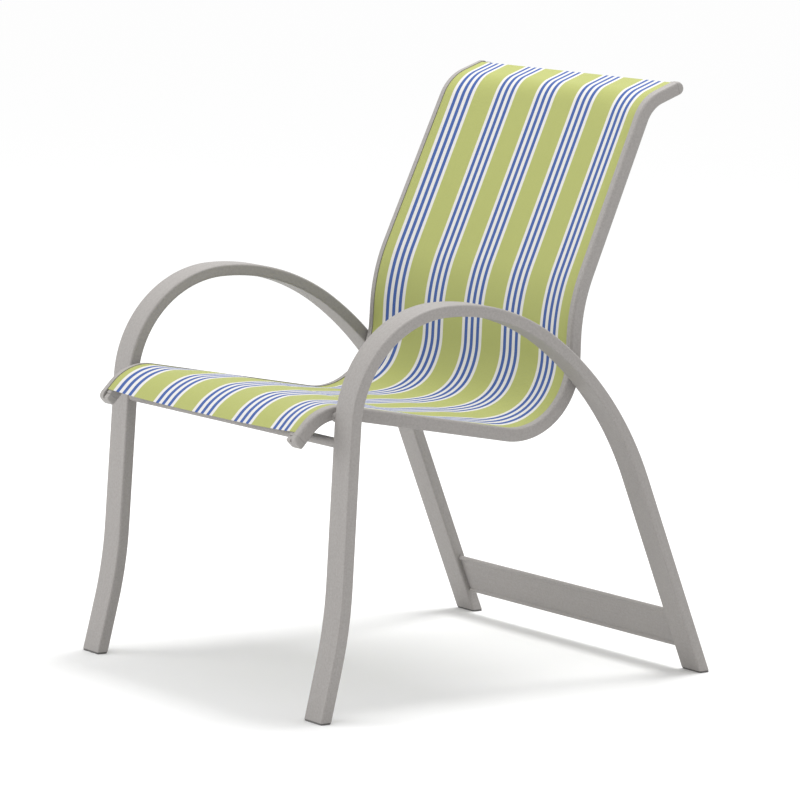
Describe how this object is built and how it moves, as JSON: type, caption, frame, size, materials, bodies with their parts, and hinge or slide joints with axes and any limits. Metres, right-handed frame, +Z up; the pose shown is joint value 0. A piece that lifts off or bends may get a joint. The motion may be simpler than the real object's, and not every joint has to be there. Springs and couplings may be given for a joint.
{
  "type": "sling patio chair",
  "caption": "High-backed patio armchair: bent tube hoops form legs and arms, bolted to side rails that hold a striped woven sling",
  "frame": {"origin": "on the floor, in the middle of the chair's width and depth", "axes": "+Z up, +X the sitter's left, +Y from the seat's front edge towards the back"},
  "size_m": [0.6606, 0.758, 0.9182],
  "materials": {
    "frame": "warm grey textured powder coat, matt",
    "cloth": "coated yarn weave, pale green with white and blue stripes, matt",
    "cap": "grey moulded plastic, matt",
    "glide": "dark moulded plastic, matt",
    "rod": "white extruded plastic, matt",
    "fastener": "plated steel, satin"
  },
  "bodies": {
    "root": {"left_hoop": "frame", "left_front_glide": "glide", "left_back_glide": "glide", "left_rail": "frame", "left_nose_cap": "cap", "left_top_cap": "cap", "left_spline_rod": "rod", "left_front_spacer": "frame", "left_front_bolt": "fastener", "left_front_washer": "fastener", "left_front_nut": "fastener", "left_back_spacer": "frame", "left_back_bolt": "fastener", "left_back_washer": "fastener", "left_back_nut": "fastener", "right_hoop": "frame", "right_front_glide": "glide", "right_back_glide": "glide", "right_rail": "frame", "right_nose_cap": "cap", "right_top_cap": "cap", "right_spline_rod": "rod", "right_front_spacer": "frame", "right_front_bolt": "fastener", "right_front_washer": "fastener", "right_front_nut": "fastener", "right_back_spacer": "frame", "right_back_bolt": "fastener", "right_back_washer": "fastener", "right_back_nut": "fastener", "front_crossbar": "frame", "rear_stretcher": "frame", "seat_spreader": "frame", "back_spreader": "frame", "sling_fabric": "cloth"}
  },
  "joints": []
}
